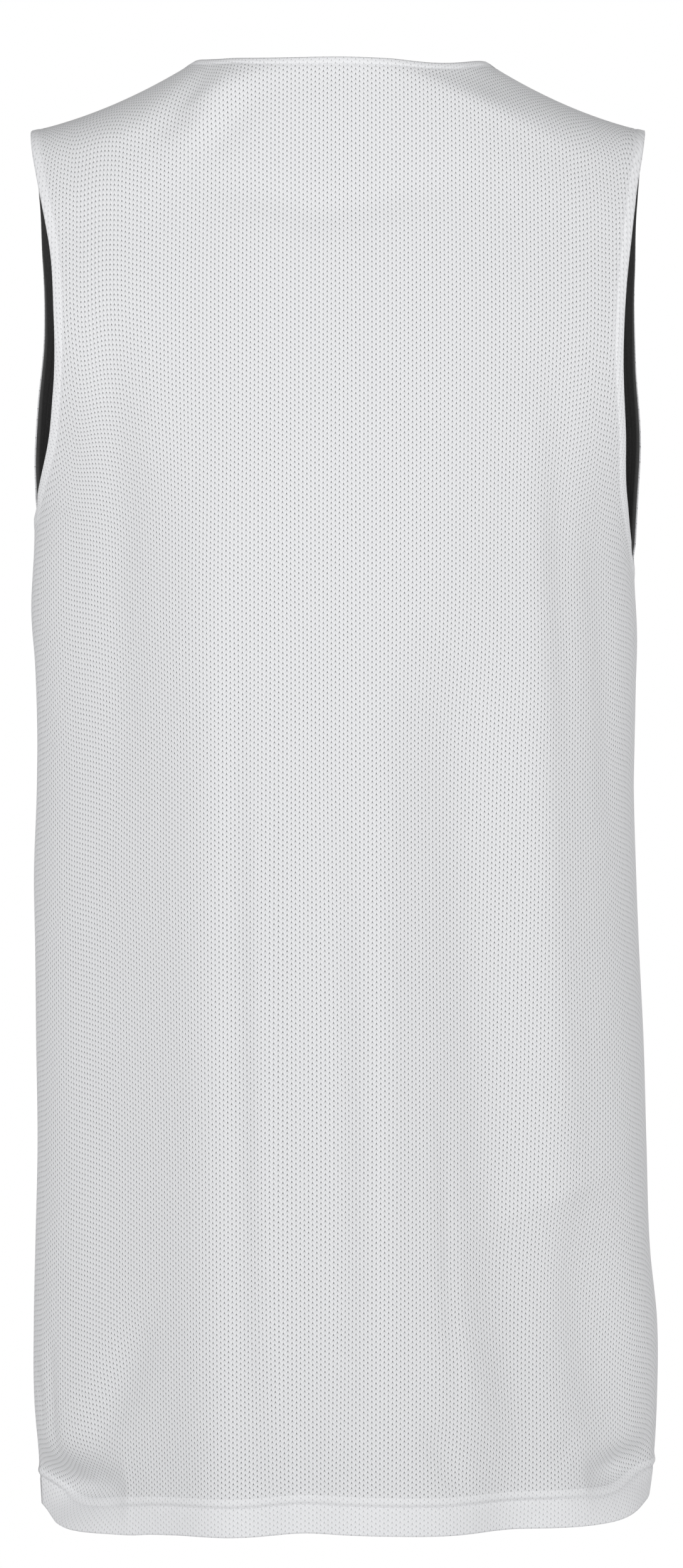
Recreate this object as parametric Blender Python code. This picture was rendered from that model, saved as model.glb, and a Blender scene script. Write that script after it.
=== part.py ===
"""Reversible basketball jersey: two plies of eyelet knit, filled out as if it were worn.

The jersey stands upright about the origin, which is the middle of the neck opening at the height
where the shoulders carry it. +Z is up, the front faces -Y and the back faces +Y, so the wearer's
left is +X. It is cut from four pieces: a white front and back, and a black front and back behind
them. White and black are joined along the neck and the armholes, and each colour is closed at its
own side seams and shoulder seams.

Each piece is a thin wall on one smooth skin. A point of the skin is found from two numbers:
across, -1 at the right edge, 0 at the middle and 1 at the left edge, and level, 0 at the hem,
1 at the underarm and 2 at the shoulder or the neck edge.
"""
from collections import namedtuple

import bmesh
import bpy
import numpy as np

# Cloth, in metres
PLY = 0.0012
PLY_GAP = 0.0003
SEAM_GAP = 0.0003
INNER_HEM_LIFT = 0.004

# Heights of the cut, in metres from the shoulder rest
UNDERARM_LEFT = -0.246
UNDERARM_RIGHT = -0.274
SHOULDER_AT_NECK = 0.0100
SHOULDER_DROP = 0.0372
SHOULDER_BEND = 0.53
NECK_HALF_WIDTH = 0.0815
TIP_HALF_WIDTH = 0.1748

# The neck hole: its edge across, and how much of the rise its lowest points lose
NECK_ACROSS = 0.33
BACK_NECK_DIP = 0.103
FRONT_NECK_DIP = 0.46

# Grid of every panel, and how its columns crowd beside the armholes
CROWDING = 63.0
CROWDING_LIMIT = 3.5
SHOULDER_COLUMNS = 8
NECK_COLUMNS = 10
TRUNK_LEVELS = (0.0, 0.04, 0.12, 0.21, 0.30, 0.39, 0.48, 0.57, 0.66, 0.75, 0.84, 0.92, 1.0)
YOKE_LEVELS = (1.04, 1.10, 1.19, 1.31, 1.46, 1.62, 1.77, 1.90, 1.97, 2.0)

BACK = "back"
FRONT = "front"

# The hem's cut edge, which dips a little on the flanks
HemRow = namedtuple("HemRow", "across height")
HEM = (
    HemRow(-1.00, -0.7975),
    HemRow(-0.85, -0.7990),
    HemRow(-0.68, -0.8055),
    HemRow(-0.50, -0.8070),
    HemRow(-0.25, -0.8062),
    HemRow(0.00, -0.8045),
    HemRow(0.25, -0.8060),
    HemRow(0.60, -0.8120),
    HemRow(0.85, -0.8110),
    HemRow(1.00, -0.8040),
)

# The trunk, a closed ring at each height: half-widths to each side, and depths along Y at the
# middle of the back, at the widest line of the sides and at the middle of the front
TrunkRow = namedtuple("TrunkRow", "height left right back side front")
TRUNK = (
    TrunkRow(-0.810, 0.1695, 0.1725, 0.1330, 0.000, -0.134),
    TrunkRow(-0.783, 0.1712, 0.1765, 0.1340, 0.000, -0.135),
    TrunkRow(-0.740, 0.1744, 0.1791, 0.1350, 0.000, -0.135),
    TrunkRow(-0.700, 0.1745, 0.1790, 0.1350, 0.000, -0.134),
    TrunkRow(-0.660, 0.1737, 0.1750, 0.1350, 0.000, -0.133),
    TrunkRow(-0.600, 0.1724, 0.1729, 0.1350, 0.000, -0.131),
    TrunkRow(-0.540, 0.1732, 0.1712, 0.1350, 0.000, -0.129),
    TrunkRow(-0.485, 0.1738, 0.1685, 0.1350, 0.000, -0.127),
    TrunkRow(-0.450, 0.1744, 0.1671, 0.1348, 0.001, -0.126),
    TrunkRow(-0.400, 0.1727, 0.1656, 0.1344, 0.003, -0.125),
    TrunkRow(-0.345, 0.1723, 0.1658, 0.1336, 0.006, -0.123),
    TrunkRow(-0.290, 0.1734, 0.1664, 0.1324, 0.009, -0.122),
    TrunkRow(-0.255, 0.1753, 0.1669, 0.1314, 0.010, -0.121),
    TrunkRow(-0.240, 0.1735, 0.1655, 0.1310, 0.010, -0.121),
)

# The yoke, from the underarm (rise 0) to the shoulder line (rise 1). Each panel lies on an arc:
# how many degrees it reaches round to the armhole edge, its half-widths were it to reach a right
# angle, the Y of its centre and its depth from there
YokeRow = namedtuple("YokeRow", "rise wrap left right centre depth")
YOKE = {
    BACK: (
        YokeRow(0.000, 90.0, 0.1735, 0.1655, 0.0100, 0.1210),
        YokeRow(0.015, 84.4, 0.1728, 0.1649, 0.0102, 0.1206),
        YokeRow(0.060, 78.6, 0.1736, 0.1655, 0.0112, 0.1191),
        YokeRow(0.150, 70.6, 0.1748, 0.1687, 0.0165, 0.1118),
        YokeRow(0.300, 65.0, 0.1765, 0.1737, 0.0315, 0.0916),
        YokeRow(0.500, 61.9, 0.1803, 0.1768, 0.0470, 0.0660),
        YokeRow(0.700, 57.0, 0.1940, 0.1906, 0.0316, 0.0696),
        YokeRow(0.800, 52.8, 0.2098, 0.2045, 0.0110, 0.0852),
        YokeRow(0.850, 50.3, 0.2202, 0.2138, -0.0070, 0.1002),
        YokeRow(0.900, 47.7, 0.2321, 0.2255, -0.0313, 0.1208),
        YokeRow(0.940, 45.3, 0.2438, 0.2372, -0.0393, 0.1173),
        YokeRow(0.970, 43.5, 0.2531, 0.2468, -0.0395, 0.1027),
        YokeRow(0.990, 42.5, 0.2586, 0.2528, -0.0448, 0.0936),
        YokeRow(1.000, 42.0, 0.2612, 0.2558, -0.0569, 0.0942),
    ),
    FRONT: (
        YokeRow(0.000, 90.0, 0.1735, 0.1655, 0.0100, -0.1310),
        YokeRow(0.015, 85.5, 0.1737, 0.1662, 0.0100, -0.1310),
        YokeRow(0.060, 81.5, 0.1759, 0.1691, 0.0090, -0.1300),
        YokeRow(0.150, 78.0, 0.1790, 0.1728, 0.0045, -0.1235),
        YokeRow(0.300, 73.5, 0.1818, 0.1790, -0.0060, -0.1080),
        YokeRow(0.500, 68.0, 0.1850, 0.1830, -0.0270, -0.0710),
        YokeRow(0.700, 61.0, 0.1975, 0.1938, -0.0399, -0.0311),
        YokeRow(0.850, 53.0, 0.2176, 0.2129, -0.0470, 0.0050),
        YokeRow(0.900, 49.5, 0.2291, 0.2242, -0.0537, 0.0257),
        YokeRow(0.940, 46.5, 0.2404, 0.2355, -0.0623, 0.0513),
        YokeRow(0.970, 44.5, 0.2491, 0.2440, -0.0722, 0.0802),
        YokeRow(0.990, 43.0, 0.2562, 0.2509, -0.0701, 0.0931),
        YokeRow(1.000, 42.0, 0.2612, 0.2558, -0.0569, 0.0942),
    ),
}

# The largest folds of each panel: where each starts and ends, its half-width as a share of the
# quarter turn to the side, and how far it stands out (or in, below zero) at either end
Fold = namedtuple("Fold", "top foot across_top across_foot width depth_top depth_foot")
FOLDS = {
    BACK: (
        Fold(-0.16, -0.95, 0.62, 0.50, 0.23, -0.009, -0.013),
        Fold(-0.10, -0.44, 0.51, 0.53, 0.08, -0.004, -0.001),
        Fold(-0.20, -0.95, 0.27, 0.23, 0.11, 0.004, 0.009),
        Fold(-0.24, -0.95, 0.09, 0.08, 0.08, -0.003, -0.012),
        Fold(-0.28, -0.95, -0.24, -0.43, 0.13, -0.009, -0.017),
        Fold(-0.17, -0.72, -0.44, -0.52, 0.06, 0.002, 0.002),
        Fold(-0.20, -0.95, -0.64, -0.78, 0.13, -0.004, 0.009),
    ),
    FRONT: (
        Fold(-0.20, -0.95, 0.62, 0.52, 0.20, -0.007, -0.016),
        Fold(-0.22, -0.95, 0.30, 0.24, 0.11, 0.003, 0.009),
        Fold(-0.30, -0.95, 0.04, -0.04, 0.12, -0.005, -0.014),
        Fold(-0.24, -0.95, -0.30, -0.22, 0.10, 0.003, 0.008),
        Fold(-0.18, -0.95, -0.55, -0.64, 0.18, -0.007, -0.017),
    ),
}
FOLD_START = 0.10

WHITE_KNIT = (0.80, 0.81, 0.82, 1.0)
BLACK_KNIT = (0.022, 0.022, 0.021, 1.0)


def clear_scene():
    """Start from nothing."""
    for thing in list(bpy.data.objects):
        bpy.data.objects.remove(thing, do_unlink=True)


def knit(name, colour):
    """Matt polyester knit."""
    material = bpy.data.materials.new(name)
    material.use_nodes = True
    shader = material.node_tree.nodes["Principled BSDF"]
    shader.inputs["Base Color"].default_value = colour
    shader.inputs["Roughness"].default_value = 0.85
    shader.inputs["Metallic"].default_value = 0.0
    return material


def read(rows, column, at):
    """A column of a table, read smoothly against the table's first column."""
    keys = np.array([row[0] for row in rows])
    values = np.array([getattr(row, column) for row in rows])
    slopes = np.gradient(values, keys)
    cell = np.clip(np.searchsorted(keys, at) - 1, 0, len(keys) - 2)
    span = keys[cell + 1] - keys[cell]
    part = np.clip((at - keys[cell]) / span, 0.0, 1.0)
    rest = 1.0 - part
    ends = values[cell] * (1 + 2 * part) * rest**2 + values[cell + 1] * (3 - 2 * part) * part**2
    return ends + span * part * rest * (slopes[cell] * rest - slopes[cell + 1] * part)


def between(across, right, left):
    """Blend from the right-hand value to the left-hand value on the way across."""
    share = 0.5 + 0.5 * np.sin(0.5 * np.pi * across)
    return right + (left - right) * share


def columns():
    """Where the grid's columns lie across: even on the shoulders, closer at the neck's corners."""
    turn = np.linspace(-1.0, 1.0, NECK_COLUMNS + 1)
    neck = NECK_ACROSS * (0.5 * np.sin(0.5 * np.pi * turn) + 0.5 * turn)
    shoulder = np.linspace(NECK_ACROSS, 1.0, SHOULDER_COLUMNS + 1)[1:]
    return np.concatenate([-shoulder[::-1], neck, shoulder])


def bend(across, wrap):
    """Angle round the body, in radians, when the panel wraps so many degrees each way.

    The columns keep their places near the middle and crowd together only beside an armhole.
    """
    missing = np.maximum(90.0 - wrap, 1e-6)
    crowding = np.minimum(CROWDING / missing, CROWDING_LIMIT)
    return np.radians(90.0 * across - missing * np.sign(across) * np.abs(across) ** crowding)


def ridge_height(across):
    """Height of the shoulder line, carried on over the neck hole as a low dome."""
    wrap = YOKE[BACK][-1].wrap
    x = TIP_HALF_WIDTH * np.sin(bend(across, wrap)) / np.sin(np.radians(wrap))
    out = (np.abs(x) - NECK_HALF_WIDTH) / (TIP_HALF_WIDTH - NECK_HALF_WIDTH)
    slope = SHOULDER_AT_NECK - SHOULDER_DROP * ((1.0 + SHOULDER_BEND) * out - SHOULDER_BEND * out**2)
    steepness = (1.0 + SHOULDER_BEND) * SHOULDER_DROP / (TIP_HALF_WIDTH - NECK_HALF_WIDTH)
    dome = 0.5 * steepness * NECK_HALF_WIDTH * (1.0 - (x / NECK_HALF_WIDTH) ** 2)
    return np.where(out > 0.0, slope, SHOULDER_AT_NECK + dome)


def top_rise(panel, across):
    """How much of the rise the panel keeps: all of it on the shoulders, less at the neck hole."""
    inside = np.clip(1.0 - (across / NECK_ACROSS) ** 2, 0.0, 1.0)
    if panel == BACK:
        return 1.0 - BACK_NECK_DIP * inside
    return 1.0 - FRONT_NECK_DIP * np.sqrt(inside)


def arc(across, wrap, left, right, centre, depth):
    """X and Y on an arc from one edge of a panel to the other."""
    angle = bend(across, wrap)
    half = np.where(across > 0.0, left, right)
    return half * np.sin(angle), centre + depth * np.cos(angle)


def trunk_points(panel, across, level):
    """The closed part of the body, from the hem to the underarm."""
    hem = read(HEM, "height", across)
    underarm = between(across, UNDERARM_RIGHT, UNDERARM_LEFT)
    z = hem + (underarm - hem) * level
    fit = np.where(level > 0.75, (level - 0.75) / 0.25, 0.0)
    at = z + fit * (TRUNK[-1].height - z)
    left, right = read(TRUNK, "left", at), read(TRUNK, "right", at)
    middle, side = read(TRUNK, panel, at), read(TRUNK, "side", at)
    x, y = arc(across, 90.0, left, right, side, middle - side)
    return np.stack([x, y, z], axis=-1)


def yoke_points(panel, across, level):
    """The part beside the armholes, up to the shoulder line and the neck hole."""
    rise = (level - 1.0) * top_rise(panel, across)
    underarm = between(across, UNDERARM_RIGHT, UNDERARM_LEFT)
    z = underarm + (ridge_height(across) - underarm) * rise
    x, y = arc(across, *(read(YOKE[panel], column, rise) for column in YokeRow._fields[1:]))
    return np.stack([x, y, z], axis=-1)


def outward(points, panel):
    """Unit normals of a grid of points, pointing away from the wearer."""
    up = np.gradient(points, axis=0)
    sideways = np.gradient(points, axis=1)
    normal = np.cross(sideways, up) if panel == FRONT else np.cross(up, sideways)
    return normal / np.linalg.norm(normal, axis=-1, keepdims=True)


def relief(panel, across, level, height):
    """How far the folds move the cloth in or out."""
    rise = np.maximum(level - 1.0, 0.0) * top_rise(panel, across)
    around = bend(across, read(YOKE[panel], "wrap", rise)) / (0.5 * np.pi)
    total = np.zeros_like(height)
    for fold in FOLDS[panel]:
        along = (height - fold.foot) / (fold.top - fold.foot)
        started = np.clip((fold.top - height) / FOLD_START, 0.0, 1.0)
        started = started**2 * (3.0 - 2.0 * started)
        middle = fold.across_foot + (fold.across_top - fold.across_foot) * along
        depth = fold.depth_foot + (fold.depth_top - fold.depth_foot) * along
        ended = np.clip((height - fold.foot) / FOLD_START, 0.0, 1.0)
        total += depth * started * ended * np.exp(-(((around - middle) / fold.width) ** 2))
    return total * (1.0 - np.abs(across) ** 8)


def skin(panel):
    """The outer face of a panel as a grid of points, hem row first, right-hand column first."""
    across, level = np.meshgrid(columns(), np.array(TRUNK_LEVELS + YOKE_LEVELS))
    body = trunk_points(panel, across, np.minimum(level, 1.0))
    yoke = yoke_points(panel, across, np.maximum(level, 1.0))
    points = np.where((level <= 1.0)[..., None], body, yoke)
    moved = relief(panel, across, level, points[..., 2])
    return points + outward(points, panel) * moved[..., None]


def seam_mask():
    """The grid's points that lie on a side seam or on a shoulder seam."""
    across, level = np.meshgrid(columns(), np.array(TRUNK_LEVELS + YOKE_LEVELS))
    side = (np.abs(across) > 0.999) & (level <= 1.0)
    shoulder = (np.abs(across) >= NECK_ACROSS - 1e-6) & (level >= 2.0)
    return side, shoulder


def shared_normals(skins):
    """Normals of both panels, the same on both sides of a seam so that the walls meet there."""
    normals = {panel: outward(points, panel) for panel, points in skins.items()}
    side, shoulder = seam_mask()
    both = normals[BACK] + normals[FRONT]
    both /= np.linalg.norm(both, axis=-1, keepdims=True)
    return {
        panel: np.where((side | shoulder)[..., None], both, normal)
        for panel, normal in normals.items()
    }


def step_back(points):
    """Draw the seam edges back by half of the seam's gap."""
    side, shoulder = seam_mask()
    moved = points.copy()
    for edge, inner in ((0, 1), (-1, -2)):
        along = points[:, inner] - points[:, edge]
        along /= np.linalg.norm(along, axis=-1, keepdims=True)
        moved[:, edge] += along * (0.5 * SEAM_GAP * side[:, edge, None])
    down = points[-2] - points[-1]
    down /= np.linalg.norm(down, axis=-1, keepdims=True)
    moved[-1] += down * (0.5 * SEAM_GAP * shoulder[-1, :, None])
    return moved


def wall(name, outer, inner, material):
    """A closed wall between two grids of points."""
    rows, cols = outer.shape[:2]
    rising = ((0, 1, cols + 1), (0, cols + 1, cols))
    falling = ((0, 1, cols), (1, cols + 1, cols))
    mesh = bmesh.new()
    faces = [[mesh.verts.new(point) for point in grid.reshape(-1, 3)] for grid in (outer, inner)]
    for verts in faces:
        for row in range(rows - 1):
            for col in range(cols - 1):
                first = row * cols + col
                for corner in (rising if col < cols // 2 else falling):
                    mesh.faces.new([verts[first + step] for step in corner])
    rim = list(range(cols))
    rim += [row * cols + cols - 1 for row in range(1, rows)]
    rim += [(rows - 1) * cols + col for col in range(cols - 2, -1, -1)]
    rim += [row * cols for row in range(rows - 2, 0, -1)]
    for here, after in zip(rim, rim[1:] + rim[:1]):
        mesh.faces.new([faces[0][here], faces[0][after], faces[1][after], faces[1][here]])
    bmesh.ops.recalc_face_normals(mesh, faces=mesh.faces)
    data = bpy.data.meshes.new(name)
    mesh.to_mesh(data)
    mesh.free()
    data.shade_smooth()
    data.materials.append(material)
    piece = bpy.data.objects.new(name, data)
    bpy.context.collection.objects.link(piece)
    return piece


def lift_hem(points):
    """Shorten a panel at the hem by the inner ply's lift."""
    shorter = points.copy()
    up = points[1] - points[0]
    shorter[0] += up / np.linalg.norm(up, axis=-1, keepdims=True) * INNER_HEM_LIFT
    return shorter


def build():
    """Both plies of both panels."""
    clear_scene()
    white = knit("white_knit", WHITE_KNIT)
    black = knit("black_knit", BLACK_KNIT)
    skins = {panel: skin(panel) for panel in (BACK, FRONT)}
    normals = shared_normals(skins)
    lining = PLY + PLY_GAP
    for panel, points in skins.items():
        layers = [step_back(points - normals[panel] * depth) for depth in (0.0, PLY, lining, lining + PLY)]
        wall(panel + "_white", layers[0], layers[1], white)
        wall(panel + "_black", lift_hem(layers[2]), lift_hem(layers[3]), black)


build()
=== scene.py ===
"""Looks of the reversible basketball jersey: four thin shells of eyelet knit on the frame's skin.

A point of the skin is found from two numbers: across, -1 at the right edge, 0 at the middle and 1
at the left edge of a panel, and level, 0 at the hem, 1 at the underarm and 2 at the shoulder line
or the neck edge. All sizes are in metres, in the frame's axes: +Z up, the back faces +Y and the
wearer's left is +X.
"""
import math
from collections import namedtuple

import bpy
import numpy as np
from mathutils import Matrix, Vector


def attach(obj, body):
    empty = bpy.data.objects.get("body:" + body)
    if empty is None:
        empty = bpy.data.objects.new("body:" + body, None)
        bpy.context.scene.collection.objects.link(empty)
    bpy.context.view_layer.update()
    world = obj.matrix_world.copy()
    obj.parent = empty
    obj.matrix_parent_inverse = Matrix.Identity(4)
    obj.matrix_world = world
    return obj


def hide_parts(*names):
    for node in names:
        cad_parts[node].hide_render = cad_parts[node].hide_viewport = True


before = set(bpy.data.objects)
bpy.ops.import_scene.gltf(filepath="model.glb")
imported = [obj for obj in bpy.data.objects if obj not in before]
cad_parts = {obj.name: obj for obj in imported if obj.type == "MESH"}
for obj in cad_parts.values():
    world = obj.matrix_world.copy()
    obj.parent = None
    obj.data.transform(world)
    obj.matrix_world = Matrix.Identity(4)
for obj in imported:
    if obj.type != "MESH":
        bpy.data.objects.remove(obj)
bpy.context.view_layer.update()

BACK = "back"
FRONT = "front"

# Cloth: each ply's thickness, the gap between plies, how far up the black ply's bottom row is
# drawn, which laps it over the next three rows, and the gap left at the seams
PLY = 0.0012
PLY_GAP = 0.0003
INNER_HEM_LIFT = 0.004
SEAM_GAP = 0.00006

# Heights of the cut from the shoulder rest, how much steeper than their average slope the
# shoulders start, and the half-widths of the neck and the shoulders
UNDERARM_LEFT = -0.246
UNDERARM_RIGHT = -0.274
SHOULDER_AT_NECK = 0.0100
SHOULDER_DROP = 0.0372
SHOULDER_BEND = 0.53
NECK_HALF_WIDTH = 0.0815
TIP_HALF_WIDTH = 0.1748

# The neck hole: its edge across, and how much of the rise its lowest points lose
NECK_ACROSS = 0.33
BACK_NECK_DIP = 0.103
FRONT_NECK_DIP = 0.46

# How the grid's columns crowd beside the armholes
CROWDING = 63.0
CROWDING_LIMIT = 3.5

# Grid of each shell: its columns on each shoulder and over the neck hole, and its rows in the
# hem, the trunk, the yoke and the top edge
SHOULDER_COLUMNS = 48
NECK_COLUMNS = 56
HEM_LEVEL = 0.046
HEM_ROWS = 24
TRUNK_ROWS = 160
YOKE_ROWS = 68
EDGE_LEVEL = 0.036
EDGE_ROWS = 12

# The hem's cut edge, lowest between the middle and the sides
HemRow = namedtuple("HemRow", "across height")
HEM = (
    HemRow(-1.00, -0.7975),
    HemRow(-0.85, -0.7990),
    HemRow(-0.68, -0.8055),
    HemRow(-0.50, -0.8070),
    HemRow(-0.25, -0.8062),
    HemRow(0.00, -0.8045),
    HemRow(0.25, -0.8060),
    HemRow(0.60, -0.8120),
    HemRow(0.85, -0.8110),
    HemRow(1.00, -0.8040),
)

# Rings of the trunk: half-widths to each side, and Y at the middle of the back, at the side line
# and at the middle of the front
TrunkRow = namedtuple("TrunkRow", "height left right back side front")
TRUNK = (
    TrunkRow(-0.810, 0.1695, 0.1725, 0.1330, 0.000, -0.134),
    TrunkRow(-0.783, 0.1712, 0.1765, 0.1340, 0.000, -0.135),
    TrunkRow(-0.740, 0.1744, 0.1791, 0.1350, 0.000, -0.135),
    TrunkRow(-0.700, 0.1745, 0.1790, 0.1350, 0.000, -0.134),
    TrunkRow(-0.660, 0.1737, 0.1750, 0.1350, 0.000, -0.133),
    TrunkRow(-0.600, 0.1724, 0.1729, 0.1350, 0.000, -0.131),
    TrunkRow(-0.540, 0.1732, 0.1712, 0.1350, 0.000, -0.129),
    TrunkRow(-0.485, 0.1738, 0.1685, 0.1350, 0.000, -0.127),
    TrunkRow(-0.450, 0.1744, 0.1671, 0.1348, 0.001, -0.126),
    TrunkRow(-0.400, 0.1727, 0.1656, 0.1344, 0.003, -0.125),
    TrunkRow(-0.345, 0.1723, 0.1658, 0.1336, 0.006, -0.123),
    TrunkRow(-0.290, 0.1734, 0.1664, 0.1324, 0.009, -0.122),
    TrunkRow(-0.255, 0.1753, 0.1669, 0.1314, 0.010, -0.121),
    TrunkRow(-0.240, 0.1735, 0.1655, 0.1310, 0.010, -0.121),
)

# Arcs of the yoke, from the underarm (rise 0) to the shoulder line (rise 1): the degrees that each
# wraps either way, its half-widths, where its centre lies in Y and how far it reaches from there
YokeRow = namedtuple("YokeRow", "rise wrap left right centre depth")
YOKE = {
    BACK: (
        YokeRow(0.000, 90.0, 0.1735, 0.1655, 0.0100, 0.1210),
        YokeRow(0.015, 84.4, 0.1728, 0.1649, 0.0102, 0.1206),
        YokeRow(0.060, 78.6, 0.1736, 0.1655, 0.0112, 0.1191),
        YokeRow(0.150, 70.6, 0.1748, 0.1687, 0.0165, 0.1118),
        YokeRow(0.300, 65.0, 0.1765, 0.1737, 0.0315, 0.0916),
        YokeRow(0.500, 61.9, 0.1803, 0.1768, 0.0470, 0.0660),
        YokeRow(0.700, 57.0, 0.1940, 0.1906, 0.0316, 0.0696),
        YokeRow(0.800, 52.8, 0.2098, 0.2045, 0.0110, 0.0852),
        YokeRow(0.850, 50.3, 0.2202, 0.2138, -0.0070, 0.1002),
        YokeRow(0.900, 47.7, 0.2321, 0.2255, -0.0313, 0.1208),
        YokeRow(0.940, 45.3, 0.2438, 0.2372, -0.0393, 0.1173),
        YokeRow(0.970, 43.5, 0.2531, 0.2468, -0.0395, 0.1027),
        YokeRow(0.990, 42.5, 0.2586, 0.2528, -0.0448, 0.0936),
        YokeRow(1.000, 42.0, 0.2612, 0.2558, -0.0569, 0.0942),
    ),
    FRONT: (
        YokeRow(0.000, 90.0, 0.1735, 0.1655, 0.0100, -0.1310),
        YokeRow(0.015, 85.5, 0.1737, 0.1662, 0.0100, -0.1310),
        YokeRow(0.060, 81.5, 0.1759, 0.1691, 0.0090, -0.1300),
        YokeRow(0.150, 78.0, 0.1790, 0.1728, 0.0045, -0.1235),
        YokeRow(0.300, 73.5, 0.1818, 0.1790, -0.0060, -0.1080),
        YokeRow(0.500, 68.0, 0.1850, 0.1830, -0.0270, -0.0710),
        YokeRow(0.700, 61.0, 0.1975, 0.1938, -0.0399, -0.0311),
        YokeRow(0.850, 53.0, 0.2176, 0.2129, -0.0470, 0.0050),
        YokeRow(0.900, 49.5, 0.2291, 0.2242, -0.0537, 0.0257),
        YokeRow(0.940, 46.5, 0.2404, 0.2355, -0.0623, 0.0513),
        YokeRow(0.970, 44.5, 0.2491, 0.2440, -0.0722, 0.0802),
        YokeRow(0.990, 43.0, 0.2562, 0.2509, -0.0701, 0.0931),
        YokeRow(1.000, 42.0, 0.2612, 0.2558, -0.0569, 0.0942),
    ),
}

# The frame's large folds: where each starts and ends, its half-width as a share of the quarter
# turn to the side, and how far it stands out (or in, below zero) at either end
Fold = namedtuple("Fold", "top foot across_top across_foot width depth_top depth_foot")
FOLDS = {
    BACK: (
        Fold(-0.16, -0.95, 0.62, 0.50, 0.23, -0.009, -0.013),
        Fold(-0.10, -0.44, 0.51, 0.53, 0.08, -0.004, -0.001),
        Fold(-0.20, -0.95, 0.27, 0.23, 0.11, 0.004, 0.009),
        Fold(-0.24, -0.95, 0.09, 0.08, 0.08, -0.003, -0.012),
        Fold(-0.28, -0.95, -0.24, -0.43, 0.13, -0.009, -0.017),
        Fold(-0.17, -0.72, -0.44, -0.52, 0.06, 0.002, 0.002),
        Fold(-0.20, -0.95, -0.64, -0.78, 0.13, -0.004, 0.009),
    ),
    FRONT: (
        Fold(-0.20, -0.95, 0.62, 0.52, 0.20, -0.007, -0.016),
        Fold(-0.22, -0.95, 0.30, 0.24, 0.11, 0.003, 0.009),
        Fold(-0.30, -0.95, 0.04, -0.04, 0.12, -0.005, -0.014),
        Fold(-0.24, -0.95, -0.30, -0.22, 0.10, 0.003, 0.008),
        Fold(-0.18, -0.95, -0.55, -0.64, 0.18, -0.007, -0.017),
    ),
}

# Over what height a fold comes in at its top and dies out at its foot
FOLD_START = 0.10

# Small creases: each runs straight on the cloth from one end to the other, given as metres from
# the middle of the panel (towards the wearer's left) and height, with its half-width and how far
# it stands out (or in, below zero)
Crease = namedtuple("Crease", "side_a height_a side_b height_b width depth")
CREASES = {
    BACK: (
        Crease(0.076, 0.004, 0.106, -0.038, 0.0095, -0.0036),
        Crease(0.058, -0.002, 0.088, -0.048, 0.0100, 0.0022),
        Crease(0.046, -0.012, 0.082, -0.056, 0.0090, -0.0020),
        Crease(-0.028, 0.006, -0.118, -0.012, 0.0120, -0.0034),
        Crease(0.082, -0.062, -0.005, -0.086, 0.0100, -0.0014),
        Crease(0.030, -0.086, -0.072, -0.064, 0.0100, -0.0014),
        Crease(0.048, -0.270, 0.041, -0.770, 0.0120, -0.0085),
        Crease(0.004, -0.400, -0.002, -0.780, 0.0110, -0.0052),
        Crease(-0.020, -0.360, -0.026, -0.770, 0.0120, 0.0030),
        Crease(-0.120, -0.150, -0.134, -0.400, 0.0120, -0.0016),
        Crease(-0.158, -0.250, -0.176, -0.440, 0.0120, -0.0012),
        Crease(-0.058, -0.560, -0.064, -0.760, 0.0060, -0.0015),
        Crease(-0.128, -0.620, -0.196, -0.812, 0.0440, -0.0170),
        Crease(-0.060, -0.690, -0.122, -0.800, 0.0200, 0.0030),
        Crease(-0.048, -0.745, -0.070, -0.786, 0.0090, -0.0028),
        Crease(-0.125, -0.768, -0.150, -0.758, 0.0060, -0.0018),
        Crease(-0.150, -0.784, -0.232, -0.774, 0.0120, -0.0110),
        Crease(0.258, -0.794, 0.140, -0.788, 0.0160, -0.0200),
        Crease(0.182, -0.786, 0.118, -0.690, 0.0140, -0.0040),
        Crease(0.201, -0.700, 0.199, -0.785, 0.0050, -0.0018),
        Crease(0.228, -0.710, 0.208, -0.758, 0.0050, -0.0015),
    ),
    FRONT: (
        Crease(0.094, -0.012, 0.112, -0.075, 0.0100, -0.0030),
        Crease(0.082, -0.040, 0.092, -0.110, 0.0110, 0.0018),
        Crease(-0.092, -0.010, -0.128, -0.055, 0.0110, -0.0028),
        Crease(-0.072, -0.112, 0.020, -0.150, 0.0110, -0.0018),
        Crease(0.086, -0.118, 0.000, -0.162, 0.0100, -0.0016),
        Crease(0.060, -0.340, 0.048, -0.740, 0.0120, -0.0048),
        Crease(-0.030, -0.400, -0.020, -0.780, 0.0110, -0.0036),
        Crease(0.020, -0.460, 0.012, -0.770, 0.0120, 0.0022),
        Crease(-0.082, -0.560, -0.070, -0.770, 0.0070, -0.0018),
        Crease(0.128, -0.160, 0.142, -0.420, 0.0110, -0.0022),
        Crease(-0.166, -0.260, -0.180, -0.460, 0.0110, -0.0022),
        Crease(0.118, -0.690, 0.186, -0.800, 0.0280, -0.0110),
        Crease(-0.112, -0.700, -0.160, -0.790, 0.0160, 0.0040),
        Crease(-0.240, -0.788, -0.150, -0.782, 0.0160, -0.0110),
        Crease(0.160, -0.788, 0.226, -0.776, 0.0100, -0.0050),
    ),
}

# How a crease fades: how shallow its very ends are, how soon it is deep, how blunt it ends
CREASE_END = 0.02
CREASE_TAPER = 0.8
CREASE_ROUNDING = 2.0

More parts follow.
